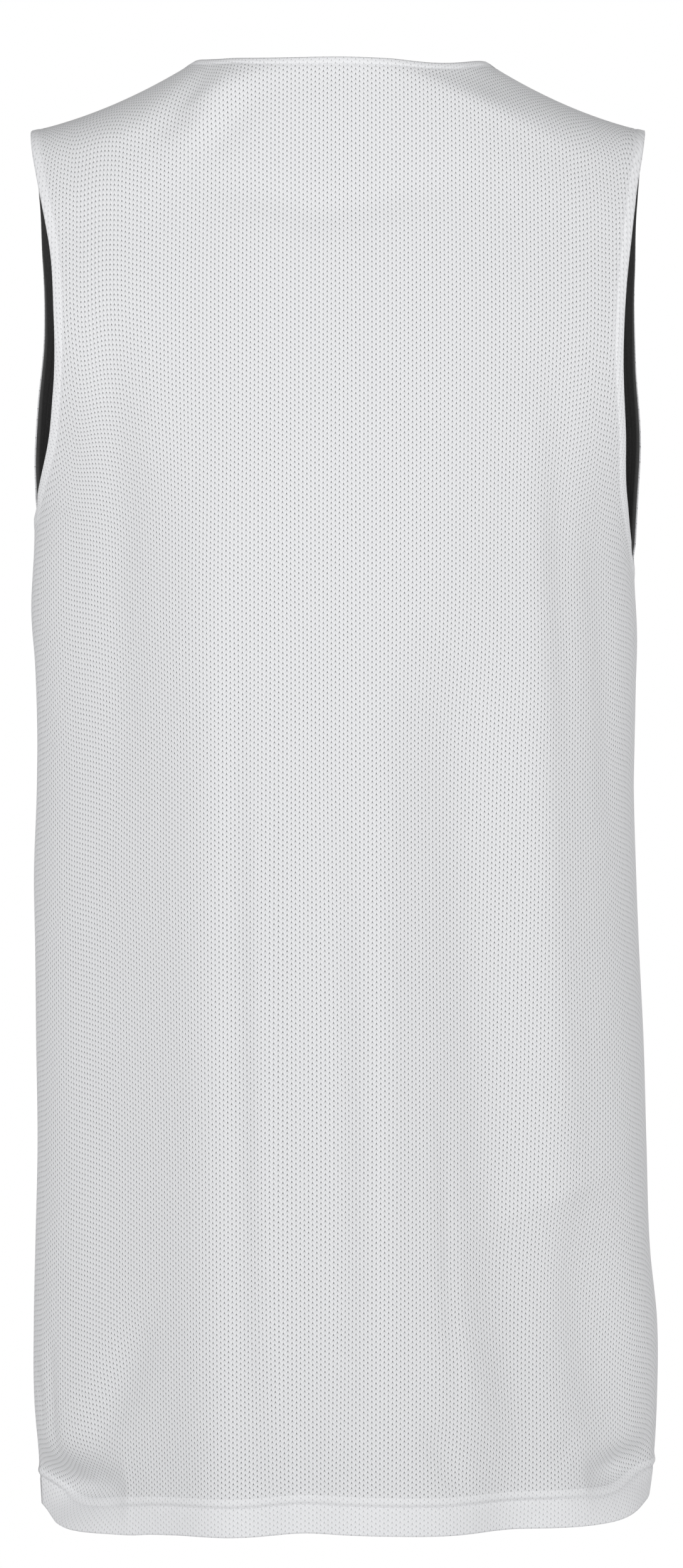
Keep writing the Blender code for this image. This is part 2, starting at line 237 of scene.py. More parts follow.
# Finished edges: how wide the turned cloth is and how far in its stitches run, how much the turn
# stands out, and how deep and how wide the stitches pull in
Edge = namedtuple("Edge", "turn stitch rise sink groove")
NECK_EDGE = Edge(0.0052, 0.0042, 0.0005, 0.0005, 0.0009)
ARM_EDGE = Edge(0.0068, 0.0056, 0.0004, 0.0004, 0.0010)
HEM_EDGE = Edge(0.0215, 0.0160, 0.0003, 0.0006, 0.0012)
TURN_BLUR = 0.12

# The hem's turn is puffed up just inside its fold line, least in the middle of a panel
HEM_PUFF = 0.0009
HEM_PUFF_INSET = 0.0028
HEM_PUFF_WIDTH = 0.0027
HEM_PUFF_MIDDLE = 0.45

# Distances to an edge are only kept up to here
FAR = 0.05

# The white ply is thinner along the armholes, where the black ply comes out to meet it
EDGE_THINNING = 0.0009
EDGE_THINNING_WIDTH = 0.0025

# Level from which the rings of the trunk level out towards the slanted underarm line
FIT_LEVEL = 0.75

# How the bend at the underarm is rounded off: over how many levels, how strongly and how often
EASE_REACH = 0.14
EASE_STRENGTH = 0.5
EASE_ROUNDS = 60

# How quickly folds and creases die out towards the sewn edges
FOLD_EDGE_POWER = 8
SIDE_SEAM_POWER = 10
SHOULDER_SEAM_POWER = 30
SHOULDER_SEAM_WIDTH = 0.06

# Knit: how far apart wales and courses lie, and how much the courses climb sideways
WALE = 0.00222
COURSE = 0.00283
COURSE_SLOPE = 0.075
TURN_SOFT = 0.0006

# Shapes in one cell of the knit, as shares of a wale or a course: how far out each starts, how
# much it leans with the height in the cell, and how wide it is
EYELET_HALF_WIDTH, EYELET_LEAN, EYELET_LEAST = 0.150, -0.16, 0.02
EYELET_HALF_HEIGHT = 0.215
EYELET_CORE, EYELET_RIM = 0.35, 1.25
# The peak carries a painted highlight, the legs and the line painted shade
PEAK_START, PEAK_LEAN, PEAK_WIDTH, PEAK_HIGHLIGHT = 0.36, -0.49, 0.10, 0.9
LEG_START, LEG_LEAN, LEG_WIDTH = 0.09, -0.62, 0.085
LEG_FOOT, LEG_TOP = (-0.46, -0.30), (-0.12, 0.02)
LINE_WIDTH, LINE_FOOT, LINE_SHADE = 0.085, (0.15, 0.35), 0.6
DOUBLED_LIGHTNESS = 0.45

# Relief of the knit and of the stitch lines
YARN_RISE = 0.00009
LEG_SINK = 0.00005
EYELET_SINK = 0.00020
TURNED_EYELET_SINK = 0.00008
DOUBLED_RISE = 0.00020
SEAM_LINE = (0.0010, 0.00060)
NECK_STITCH_LINE = (0.0007, 0.00040)
ARM_STITCH_LINE = (0.0008, 0.00040)
HEM_STITCH_LINE = (0.0010, 0.00045)
KNIT_RELIEF = 0.8

# Gloss
KNIT_ROUGHNESS, KNIT_SPECULAR = 0.78, 0.25
KNIT_SHEEN, KNIT_SHEEN_ROUGHNESS = 0.06, 0.5
THREAD_ROUGHNESS = 0.6
THREAD_GRAIN, THREAD_DARK, THREAD_LIGHT = 900.0, 0.92, 1.06


def read(rows, column, at):
    """A column of a table, read smoothly against the table's first column."""
    keys = np.array([row[0] for row in rows])
    values = np.array([getattr(row, column) for row in rows])
    slopes = np.gradient(values, keys)
    cell = np.clip(np.searchsorted(keys, at) - 1, 0, len(keys) - 2)
    span = keys[cell + 1] - keys[cell]
    part = np.clip((at - keys[cell]) / span, 0.0, 1.0)
    rest = 1.0 - part
    ends = values[cell] * (1 + 2 * part) * rest**2 + values[cell + 1] * (3 - 2 * part) * part**2
    return ends + span * part * rest * (slopes[cell] * rest - slopes[cell + 1] * part)


def between(across, right, left):
    """Blend from the right-hand value to the left-hand value on the way across."""
    return right + (left - right) * (0.5 + 0.5 * np.sin(0.5 * np.pi * across))


def columns():
    """Where the grid's columns lie across."""
    turn = np.linspace(-1.0, 1.0, NECK_COLUMNS + 1)
    neck = NECK_ACROSS * (0.5 * np.sin(0.5 * np.pi * turn) + 0.5 * turn)
    shoulder = np.linspace(NECK_ACROSS, 1.0, SHOULDER_COLUMNS + 1)[1:]
    return np.concatenate([-shoulder[::-1], neck, shoulder])


def levels():
    """Where the grid's rows lie: fine at the hem and at the top edge, even in between."""
    hem = np.linspace(0.0, HEM_LEVEL, HEM_ROWS + 1)
    trunk = np.linspace(HEM_LEVEL, 1.0, TRUNK_ROWS + 1)[1:]
    yoke = np.linspace(1.0, 2.0 - EDGE_LEVEL, YOKE_ROWS + 1)[1:]
    edge = np.linspace(2.0 - EDGE_LEVEL, 2.0, EDGE_ROWS + 1)[1:]
    return np.concatenate([hem, trunk, yoke, edge])


def bend(across, wrap):
    """Angle round the body, in radians, when the panel wraps so many degrees each way."""
    missing = np.maximum(90.0 - wrap, 1e-6)
    crowding = np.minimum(CROWDING / missing, CROWDING_LIMIT)
    return np.radians(90.0 * across - missing * np.sign(across) * np.abs(across) ** crowding)


def arc(across, wrap, left, right, centre, depth):
    """X and Y on an arc from one edge of a panel to the other."""
    angle = bend(across, wrap)
    half = np.where(across > 0.0, left, right)
    return half * np.sin(angle), centre + depth * np.cos(angle)


def ridge_height(across):
    """Height of the shoulder line, carried on over the neck hole as a low dome."""
    wrap = YOKE[BACK][-1].wrap
    x = TIP_HALF_WIDTH * np.sin(bend(across, wrap)) / np.sin(np.radians(wrap))
    out = (np.abs(x) - NECK_HALF_WIDTH) / (TIP_HALF_WIDTH - NECK_HALF_WIDTH)
    fall = (1.0 + SHOULDER_BEND) * out - SHOULDER_BEND * out**2
    slope = SHOULDER_AT_NECK - SHOULDER_DROP * fall
    steepness = (1.0 + SHOULDER_BEND) * SHOULDER_DROP / (TIP_HALF_WIDTH - NECK_HALF_WIDTH)
    dome = 0.5 * steepness * NECK_HALF_WIDTH * (1.0 - (x / NECK_HALF_WIDTH) ** 2)
    return np.where(out > 0.0, slope, SHOULDER_AT_NECK + dome)


def top_rise(panel, across):
    """How much of the rise the panel keeps: all of it on the shoulders, less at the neck hole."""
    inside = np.clip(1.0 - (across / NECK_ACROSS) ** 2, 0.0, 1.0)
    if panel == BACK:
        return 1.0 - BACK_NECK_DIP * inside
    return 1.0 - FRONT_NECK_DIP * np.sqrt(inside)


def trunk_points(panel, across, level):
    """The closed part of the body, from the hem to the underarm."""
    hem = read(HEM, "height", across)
    underarm = between(across, UNDERARM_RIGHT, UNDERARM_LEFT)
    z = hem + (underarm - hem) * level
    fit = np.where(level > FIT_LEVEL, (level - FIT_LEVEL) / (1.0 - FIT_LEVEL), 0.0)
    at = z + fit * (TRUNK[-1].height - z)
    left, right = read(TRUNK, "left", at), read(TRUNK, "right", at)
    middle, side = read(TRUNK, panel, at), read(TRUNK, "side", at)
    x, y = arc(across, 90.0, left, right, side, middle - side)
    return np.stack([x, y, z], axis=-1)


def yoke_points(panel, across, level):
    """The part beside the armholes, up to the shoulder line and the neck hole."""
    rise = (level - 1.0) * top_rise(panel, across)
    underarm = between(across, UNDERARM_RIGHT, UNDERARM_LEFT)
    z = underarm + (ridge_height(across) - underarm) * rise
    x, y = arc(across, *(read(YOKE[panel], column, rise) for column in YokeRow._fields[1:]))
    return np.stack([x, y, z], axis=-1)


def outward(points, panel):
    """Unit normals of a grid of points, pointing away from the wearer."""
    up = np.gradient(points, axis=0)
    sideways = np.gradient(points, axis=1)
    normal = np.cross(sideways, up) if panel == FRONT else np.cross(up, sideways)
    return normal / np.linalg.norm(normal, axis=-1, keepdims=True)


def folds(panel, across, level, height):
    """How far the large folds move the cloth in or out."""
    rise = np.maximum(level - 1.0, 0.0) * top_rise(panel, across)
    around = bend(across, read(YOKE[panel], "wrap", rise)) / (0.5 * np.pi)
    total = np.zeros_like(height)
    for fold in FOLDS[panel]:
        along = (height - fold.foot) / (fold.top - fold.foot)
        started = np.clip((fold.top - height) / FOLD_START, 0.0, 1.0)
        started = started**2 * (3.0 - 2.0 * started)
        middle = fold.across_foot + (fold.across_top - fold.across_foot) * along
        depth = fold.depth_foot + (fold.depth_top - fold.depth_foot) * along
        ended = np.clip((height - fold.foot) / FOLD_START, 0.0, 1.0)
        total += depth * started * ended * np.exp(-(((around - middle) / fold.width) ** 2))
    return total * (1.0 - np.abs(across) ** FOLD_EDGE_POWER)


def eased(points, across, level):
    """The grid with its bend at the underarm line rounded off, and its edges where they were."""
    edge = np.where(across[..., None] > 0.0, points[:, -1:], points[:, :1])
    edge = edge * np.abs(across[..., None]) ** FOLD_EDGE_POWER
    free = points - edge
    strength = EASE_STRENGTH * np.exp(-(((level[1:-1, :, None] - 1.0) / EASE_REACH) ** 2))
    for _ in range(EASE_ROUNDS):
        middle = 0.5 * (free[2:] + free[:-2])
        free[1:-1] += strength * (middle - free[1:-1])
    return free + edge


def run(points, axis):
    """Distance along the grid's rows or columns, from its first point."""
    steps = np.linalg.norm(np.diff(points, axis=axis), axis=-1)
    start = np.zeros_like(np.take(steps, [0], axis=axis))
    return np.concatenate([start, np.cumsum(steps, axis=axis)], axis=axis)


def creases(panel, side, height):
    """How far the small creases move the cloth in or out."""
    total = np.zeros_like(side)
    for crease in CREASES[panel]:
        start = np.array([crease.side_a, crease.height_a])
        way = np.array([crease.side_b, crease.height_b]) - start
        length = np.linalg.norm(way)
        way /= length
        along = (side - start[0]) * way[0] + (height - start[1]) * way[1]
        off = (side - start[0]) * way[1] - (height - start[1]) * way[0]
        share = np.clip(along / length, 0.0, 1.0)
        taper = np.sin(np.pi * np.clip(share, CREASE_END, 1.0 - CREASE_END)) ** CREASE_TAPER
        beyond = along - share * length
        away = off**2 + CREASE_ROUNDING * beyond**2
        total += crease.depth * taper * np.exp(-away / crease.width**2)
    return total


def sewn_share(across, level):
    """1 where the panel is sewn to the other one, falling quickly to 0 away from there."""
    side = np.abs(across) ** SIDE_SEAM_POWER
    shoulder = np.clip((np.abs(across) - NECK_ACROSS) / SHOULDER_SEAM_WIDTH, 0.0, 1.0)
    shoulder *= np.maximum(level - 1.0, 0.0) ** SHOULDER_SEAM_POWER
    return np.maximum(side, shoulder)


def nearest(points, line):
    """Distance from each grid point to the nearest point of a line."""
    best = np.full(points.shape[:-1], FAR)
    for spot in line:
        best = np.minimum(best, np.linalg.norm(points - spot, axis=-1))
    return best


Panel = namedtuple("Panel", "points normals side up neck arm seam")


def panel_skin(panel):
    """A panel's outer face, with the cloth's own coordinates and the distances to its edges."""
    across, level = np.meshgrid(columns(), levels())
    body = trunk_points(panel, across, np.minimum(level, 1.0))
    yoke = yoke_points(panel, across, np.maximum(level, 1.0))
    points = np.where((level <= 1.0)[..., None], body, yoke)
    moved = folds(panel, across, level, points[..., 2])
    points = eased(points + outward(points, panel) * moved[..., None], across, level)
    side = run(points[..., :2], 1)
    side -= side[:, [side.shape[1] // 2]]
    moved = creases(panel, side, points[..., 2]) * (1.0 - sewn_share(across, level))
    points = points + outward(points, panel) * moved[..., None]
    up = run(points, 0)
    open_rows = levels() >= 1.0 - 1e-9
    neck_columns = np.abs(columns()) <= NECK_ACROSS + 1e-9
    neck = nearest(points, points[-1, neck_columns])
    arm = nearest(points, np.concatenate([points[open_rows, 0], points[open_rows, -1]]))
    seams = [points[~open_rows, 0], points[~open_rows, -1]]
    seams += [points[-1, ~neck_columns]]
    seam = nearest(points, np.concatenate(seams))
    return Panel(points, outward(points, panel), side, up, neck, arm, seam)


def bell(value, middle, width):
    """1 at the middle, falling softly to 0 on both sides."""
    return np.exp(-(((value - middle) / width) ** 2))


def turned_edges(skin):
    """How far the doubled cloth and the stitch lines stand out from the skin, or into it."""
    total = np.zeros_like(skin.up)
    for distance, edge in ((skin.neck, NECK_EDGE), (skin.arm, ARM_EDGE), (skin.up, HEM_EDGE)):
        doubled = 1.0 / (1.0 + np.exp((distance - edge.turn) / (TURN_BLUR * edge.turn)))
        total += edge.rise * doubled - edge.sink * bell(distance, edge.stitch, edge.groove)
    flank = (skin.side / np.abs(skin.side).max()) ** 2
    share = HEM_PUFF_MIDDLE + (1.0 - HEM_PUFF_MIDDLE) * flank
    puff = bell(skin.up, HEM_EDGE.turn - HEM_PUFF_INSET, HEM_PUFF_WIDTH)
    return total + HEM_PUFF * share * puff


def grid_faces(rows, cols, flip):
    """Corner numbers of a closed shell's faces: the outer grid, the inner grid and the rim."""
    first = np.arange(rows * cols).reshape(rows, cols)
    quads = np.stack([first[:-1, :-1], first[:-1, 1:], first[1:, 1:], first[1:, :-1]], axis=-1)
    quads = quads.reshape(-1, 4)
    rim = np.concatenate([first[0], first[1:, -1], first[-1, -2::-1], first[-2:0:-1, 0]])
    after = np.roll(rim, -1)
    inner = rows * cols
    sides = np.stack([after, rim, rim + inner, after + inner], axis=-1)
    faces = np.concatenate([quads, quads[:, ::-1] + inner, sides])
    return faces[:, ::-1] if flip else faces


def new_mesh(name, points, faces, material):
    """A smooth-shaded mesh object from arrays of points and four-cornered faces."""
    data = bpy.data.meshes.new(name)
    data.vertices.add(len(points))
    data.vertices.foreach_set("co", points.astype(np.float32).ravel())
    data.loops.add(faces.size)
    data.loops.foreach_set("vertex_index", faces.astype(np.int32).ravel())
    data.polygons.add(len(faces))
    data.polygons.foreach_set("loop_start", np.arange(0, faces.size, 4, dtype=np.int32))
    data.update(calc_edges=True)
    data.shade_smooth()
    data.materials.append(material)
    piece = bpy.data.objects.new(name, data)
    bpy.context.collection.objects.link(piece)
    return piece


def store(piece, name, first, second, third):
    """Keep three numbers at every point of a shell, the same on its outer and inner grid."""
    values = np.stack([first, second, third], axis=-1).reshape(-1, 3)
    values = np.concatenate([values, values])
    attribute = piece.data.attributes.new(name, "FLOAT_VECTOR", "POINT")
    attribute.data.foreach_set("vector", values.astype(np.float32).ravel())


def drawn_back(points):
    """The grid with its seam edges drawn back by half of the seam's gap."""
    moved = points.copy()
    open_rows = levels() >= 1.0 - 1e-9
    for edge, inner in ((0, 1), (-1, -2)):
        along = points[:, inner] - points[:, edge]
        along /= np.linalg.norm(along, axis=-1, keepdims=True)
        moved[:, edge] += along * (0.5 * SEAM_GAP * ~open_rows[:, None])
    return moved


def shell(name, panel, skin, normals, depths, lift, material):
    """One ply of one panel, as a closed thin shell between two depths below the skin."""
    rows, cols = skin.side.shape
    grids = []
    for offset in depths:
        grid = drawn_back(skin.points - normals * offset[..., None])
        up = grid[1] - grid[0]
        grid[0] += up / np.linalg.norm(up, axis=-1, keepdims=True) * lift
        grids.append(grid.reshape(-1, 3))
    faces = grid_faces(rows, cols, panel == BACK)
    piece = new_mesh(name, np.concatenate(grids), faces, material)
    store(piece, "cloth", skin.side, skin.up, skin.seam)
    store(piece, "edges", skin.neck, skin.arm, np.zeros_like(skin.arm))
    return piece


def shared_normals(skins):
    """Normals of both panels, the same on both sides of a seam so that the plies meet there."""
    normals = {panel: skin.normals.copy() for panel, skin in skins.items()}
    both = skins[BACK].normals + skins[FRONT].normals
    both /= np.linalg.norm(both, axis=-1, keepdims=True)
    closed = levels() <= 1.0 + 1e-9
    shoulder = np.abs(columns()) >= NECK_ACROSS - 1e-9
    for normal in normals.values():
        for edge in (0, -1):
            normal[closed, edge] = both[closed, edge]
        normal[-1, shoulder] = both[-1, shoulder]
    return normals


# Stitches
STITCH_PITCH = 0.0031
STITCH_LENGTH = 0.0024
STITCH_RADIUS = 0.00022
STITCH_SIDES = 6
STITCH_STEP = 0.0005

# Rings of one thread: place along it, and share of its radius
STITCH_RINGS = ((-0.5, 0.25), (-0.3, 0.95), (0.3, 0.95), (0.5, 0.25))

# How many rows or columns in from an edge its stitches are looked for
HEM_SEARCH = 40
ARM_SEARCH = 12
NECK_SEARCH = 24
ARM_STITCH_START = 1.06


def stitches(path, normals):
    """Points and faces of a row of short threads along a path that lies on the cloth."""
    way = np.concatenate([[0.0], np.cumsum(np.linalg.norm(np.diff(path, axis=0), axis=-1))])
    spots = np.arange(0.5 * STITCH_PITCH, way[-1], STITCH_PITCH)
    centre = np.stack([np.interp(spots, way, path[:, axis]) for axis in range(3)], axis=-1)
    spots_ahead = spots + STITCH_STEP
    ahead = np.stack([np.interp(spots_ahead, way, path[:, axis]) for axis in range(3)], axis=-1)
    up = np.stack([np.interp(spots, way, normals[:, axis]) for axis in range(3)], axis=-1)
    along = ahead - centre
    along /= np.linalg.norm(along, axis=-1, keepdims=True)
    across = np.cross(along, up)
    across /= np.linalg.norm(across, axis=-1, keepdims=True)
    up = np.cross(across, along)
    turn = np.arange(STITCH_SIDES) * 2.0 * np.pi / STITCH_SIDES
    rings = []
    for share, width in STITCH_RINGS:
        radius = STITCH_RADIUS * width
        middle = centre + along * (share * STITCH_LENGTH)
        sideways = np.cos(turn)[None, :, None] * across[:, None]
        upwards = np.sin(turn)[None, :, None] * up[:, None]
        rings.append(middle[:, None] + radius * (sideways + upwards))
    points = np.stack(rings, axis=1).reshape(-1, 3)
    faces = []
    for ring in range(len(STITCH_RINGS) - 1):
        for side in range(STITCH_SIDES):
            here = ring * STITCH_SIDES + side
            after = ring * STITCH_SIDES + (side + 1) % STITCH_SIDES
            faces.append((here, after, after + STITCH_SIDES, here + STITCH_SIDES))
    # Each end is closed by two four-cornered halves of its hexagon
    last = (len(STITCH_RINGS) - 1) * STITCH_SIDES
    for low, order in ((0, -1), (last, 1)):
        faces.append(tuple(low + side for side in (0, 1, 2, 3))[::order])
        faces.append(tuple(low + side for side in (0, 3, 4, 5))[::order])
    size = len(STITCH_RINGS) * STITCH_SIDES
    starts = np.arange(len(spots)) * size
    return points, (np.array(faces)[None] + starts[:, None, None]).reshape(-1, 4)


def line_at(skin, surface, lanes, distances, wanted):
    """Points and normals where a distance passes the wanted value on each of the grid's lanes."""
    points, normals = [], []
    for lane, distance in zip(lanes, distances):
        spot = np.interp(wanted, distance, np.arange(len(distance)))
        low = min(int(spot), len(distance) - 2)
        share = spot - low
        row, column = lane
        for line, grid in ((points, surface), (normals, skin.normals)):
            near, far = grid[row[low], column[low]], grid[row[low + 1], column[low + 1]]
            line.append(near * (1.0 - share) + far * share)
    return np.array(points), np.array(normals)


def topstitch(name, skin, relief, material):
    """All the stitches that show along one panel's finished edges."""
    surface = skin.points + skin.normals * relief[..., None]
    rows, cols = relief.shape
    every_row, every_column = np.arange(rows), np.arange(cols)
    inward = every_row[:HEM_SEARCH]
    hem = [(inward, np.full(HEM_SEARCH, column)) for column in every_column]
    lines = [line_at(skin, surface, hem, [skin.up[lane] for lane in hem], HEM_EDGE.stitch)]
    beside_arm = every_row[levels() > ARM_STITCH_START]
    for inward in (every_column[:ARM_SEARCH], every_column[::-1][:ARM_SEARCH]):
        arm = [(np.full(ARM_SEARCH, row), inward) for row in beside_arm]
        away = [skin.arm[lane] for lane in arm]
        lines.append(line_at(skin, surface, arm, away, ARM_EDGE.stitch))
    inward = every_row[::-1][:NECK_SEARCH]
    over_neck = every_column[np.abs(columns()) <= NECK_ACROSS]
    neck = [(inward, np.full(NECK_SEARCH, column)) for column in over_neck]
    away = [skin.neck[lane] for lane in neck]
    lines.append(line_at(skin, surface, neck, away, NECK_EDGE.stitch))
    points, faces, count = [], [], 0
    for path, normals in lines:
        some_points, some_faces = stitches(path, normals)
        points.append(some_points)
        faces.append(some_faces + count)
        count += len(some_points)
    return new_mesh(name, np.concatenate(points), np.concatenate(faces), material)


class Wiring:
    """Short ways to add and join a material's nodes."""

    def __init__(self, tree):
        self.tree = tree

    def add(self, kind, **inputs):
        node = self.tree.nodes.new(kind)
        for name, value in inputs.items():
            self.give(node.inputs[name], value)
        return node

    def give(self, socket, value):
        if isinstance(value, bpy.types.NodeSocket):
            self.tree.links.new(value, socket)
        else:
            socket.default_value = value

    def math(self, operation, *values):
        node = self.tree.nodes.new("ShaderNodeMath")
        node.operation = operation
        for socket, value in zip(node.inputs, values):
            self.give(socket, value)
        return node.outputs[0]

    def total(self, *values):
        result = values[0]
        for value in values[1:]:
            result = self.math("ADD", result, value)
        return result

    def times(self, *values):
        result = values[0]
        for value in values[1:]:
            result = self.math("MULTIPLY", result, value)
        return result

    def ramp(self, value, low, high, start=0.0, end=1.0):
        """Go softly from start to end while value goes from low to high."""
        node = self.tree.nodes.new("ShaderNodeMapRange")
        node.interpolation_type = "SMOOTHSTEP"
        for socket, number in zip(node.inputs, (value, low, high, start, end)):
            self.give(socket, number)
        return node.outputs["Result"]

    def bell(self, value, middle, width):
        """1 where value is at the middle, falling to 0 on both sides."""
        off = self.math("DIVIDE", self.math("SUBTRACT", value, middle), width)
        return self.math("EXPONENT", self.math("MULTIPLY", self.math("MULTIPLY", off, off), -1.0))

    def groove(self, distance, middle, line):
        """A soft line pulled in round a stitch or a seam; a line is a width and a depth."""
        width, depth = line
        return self.times(self.bell(distance, middle, width), -depth)

    def mix(self, share, first, second):
        node = self.tree.nodes.new("ShaderNodeMix")
        node.data_type = "RGBA"
        self.give(node.inputs["Factor"], share)
        self.give(node.inputs["A"], first)
        self.give(node.inputs["B"], second)
        return node.outputs["Result"]

    def stored(self, name):
        """The three numbers kept on the shell under a name."""
        node = self.tree.nodes.new("ShaderNodeAttribute")
        node.attribute_name = name
        apart = self.tree.nodes.new("ShaderNodeSeparateXYZ")
        self.tree.links.new(node.outputs["Vector"], apart.inputs[0])
        return apart.outputs


def grey(level):
    """An opaque neutral colour."""
    return (level, level, level, 1.0)


def cool(level):
    """An opaque white with a trace of blue."""
    return (level * 0.996, level * 1.002, level * 1.022, 1.0)


def knit(name, ground, light, dark, eyelet, turned_eyelet, uneven):
    """Eyelet knit: staggered eyelets, each under a painted highlight and over two legs of painted
    shade.
    """
    material = bpy.data.materials.new(name)
    material.use_nodes = True
    tree = material.node_tree
    wire = Wiring(tree)
    shader = tree.nodes["Principled BSDF"]
    side, up, seam = wire.stored("cloth")
    neck, arm, _ = wire.stored("edges")
    # Place in a cell of the knit: wale and course go from -0.5 to 0.5, sideways and upwards
    count = wire.math("DIVIDE", side, WALE)
    number = wire.math("FLOOR", count)
    wale = wire.math("SUBTRACT", wire.math("SUBTRACT", count, number), 0.5)
    stagger = wire.math("FRACT", wire.math("MULTIPLY", number, 0.5))
    straight = wire.math("DIVIDE", wire.math("MULTIPLY_ADD", side, COURSE_SLOPE, up), COURSE)
    climb = wire.total(straight, stagger)
    course = wire.math("SUBTRACT", wire.math("FRACT", climb), 0.5)
    away = wire.math("ABSOLUTE", wale)
    # Each eyelet differs a little
    cell = wire.add("ShaderNodeCombineXYZ", X=number, Y=wire.math("FLOOR", climb))
    chance = tree.nodes.new("ShaderNodeTexWhiteNoise")
    wire.give(chance.inputs["Vector"], cell.outputs[0])
    luck = wire.ramp(chance.outputs["Value"], 0.0, 1.0, 1.0 - uneven, 1.0)
    # The eyelet, wider at its foot
    half = wire.math("MULTIPLY_ADD", course, EYELET_LEAN, EYELET_HALF_WIDTH)
    wide = wire.math("DIVIDE", wale, wire.math("MAXIMUM", half, EYELET_LEAST))
    tall = wire.math("DIVIDE", course, EYELET_HALF_HEIGHT)
    reach = wire.math("SQRT", wire.total(wire.times(wide, wide), wire.times(tall, tall)))
    hole = wire.times(wire.ramp(reach, EYELET_CORE, EYELET_RIM, 1.0, 0.0), luck)
    # Painted highlight on the pale yarns that lean together over the eyelet; the same peak also
    # raises the relief
    peak = wire.math("SUBTRACT", away, wire.math("MULTIPLY_ADD", course, PEAK_LEAN, PEAK_START))
    pale = wire.bell(peak, 0.0, PEAK_WIDTH)
    # Painted shade: darker legs that spread from under the eyelet; they also sink the relief
    spread = wire.math("SUBTRACT", away, wire.math("MULTIPLY_ADD", course, LEG_LEAN, LEG_START))
    legs = wire.times(
        wire.bell(spread, 0.0, LEG_WIDTH),
        wire.ramp(course, *LEG_FOOT),
        wire.ramp(course, *LEG_TOP, 1.0, 0.0),
    )
    # Painted shade: a dim line over the eyelet, between the two yarns
    line = wire.times(wire.bell(wale, 0.0, LINE_WIDTH), wire.ramp(course, *LINE_FOOT))
    shadow = wire.math("MINIMUM", wire.total(legs, wire.times(line, LINE_SHADE)), 1.0)
    # Doubled cloth at the finished edges
    doubled = wire.math(
        "MAXIMUM",
        wire.math(
            "MAXIMUM",
            wire.ramp(neck, NECK_EDGE.turn - TURN_SOFT, NECK_EDGE.turn, 1.0, 0.0),
            wire.ramp(arm, ARM_EDGE.turn - TURN_SOFT, ARM_EDGE.turn, 1.0, 0.0),
        ),
        wire.ramp(up, HEM_EDGE.turn - TURN_SOFT, HEM_EDGE.turn, 1.0, 0.0),
    )
    # Painted highlight on the peaks and painted shade on the legs and the line, then the doubled
    # cloth made whiter
    body = wire.mix(wire.times(pale, PEAK_HIGHLIGHT), ground, light)
    body = wire.mix(shadow, body, dark)
    body = wire.mix(wire.times(doubled, DOUBLED_LIGHTNESS), body, light)
    colour = wire.mix(hole, body, wire.mix(doubled, eyelet, turned_eyelet))
    tree.links.new(colour, shader.inputs["Base Color"])
    # Relief, in metres
    knit_relief = wire.total(
        wire.times(pale, YARN_RISE),
        wire.times(shadow, -LEG_SINK),
        wire.times(
            hole,
            wire.math("MULTIPLY_ADD", doubled, EYELET_SINK - TURNED_EYELET_SINK, -EYELET_SINK),
        ),
    )
    sewn = wire.total(
        wire.groove(neck, NECK_EDGE.stitch, NECK_STITCH_LINE),
        wire.groove(arm, ARM_EDGE.stitch, ARM_STITCH_LINE),
        wire.groove(up, HEM_EDGE.stitch, HEM_STITCH_LINE),
        wire.groove(seam, 0.0, SEAM_LINE),
        wire.times(doubled, DOUBLED_RISE),
    )
    height = wire.total(knit_relief, sewn)
    bump = wire.add("ShaderNodeBump", Height=height, Distance=1.0, Strength=KNIT_RELIEF)
    tree.links.new(bump.outputs[0], shader.inputs["Normal"])
    shader.inputs["Roughness"].default_value = KNIT_ROUGHNESS
    shader.inputs["Specular IOR Level"].default_value = KNIT_SPECULAR
    shader.inputs["Sheen Weight"].default_value = KNIT_SHEEN
    shader.inputs["Sheen Roughness"].default_value = KNIT_SHEEN_ROUGHNESS
    return material


def thread(name, level):
    """Twisted sewing thread."""
    material = bpy.data.materials.new(name)
    material.use_nodes = True
    tree = material.node_tree
    wire = Wiring(tree)
    shader = tree.nodes["Principled BSDF"]
    place = wire.add("ShaderNodeTexCoord").outputs["Object"]
    noise = wire.add("ShaderNodeTexNoise", Vector=place, Scale=THREAD_GRAIN, Detail=1.0)
    dark, light = cool(level * THREAD_DARK), cool(level * THREAD_LIGHT)
    tint = wire.mix(noise.outputs["Fac"], dark, light)
    tree.links.new(tint, shader.inputs["Base Color"])
    shader.inputs["Roughness"].default_value = THREAD_ROUGHNESS
    return material


# The floor is solid in the middle, fades out, and glows a little to the eye, not to the cloth
FLOOR_HEIGHT = -0.95
FLOOR_RADIUS = 1.6
FLOOR_SOLID, FLOOR_GONE = 0.15, 0.75
FLOOR_GREY = 0.86
FLOOR_GLOW = 0.30
FLOOR_ROUGHNESS = 0.9

# The surround's light on the cloth: level, overhead, underneath and what the sides add, and the
# heights of the view, -1 straight down and 1 straight up, that these are reached at
HORIZON, ZENITH, NADIR, SIDE_GLOW = 0.825, 0.07, 0.43, 0.18
ZENITH_HEIGHT, NADIR_HEIGHT, HORIZON_FOOT = 0.85, -0.90, -0.05


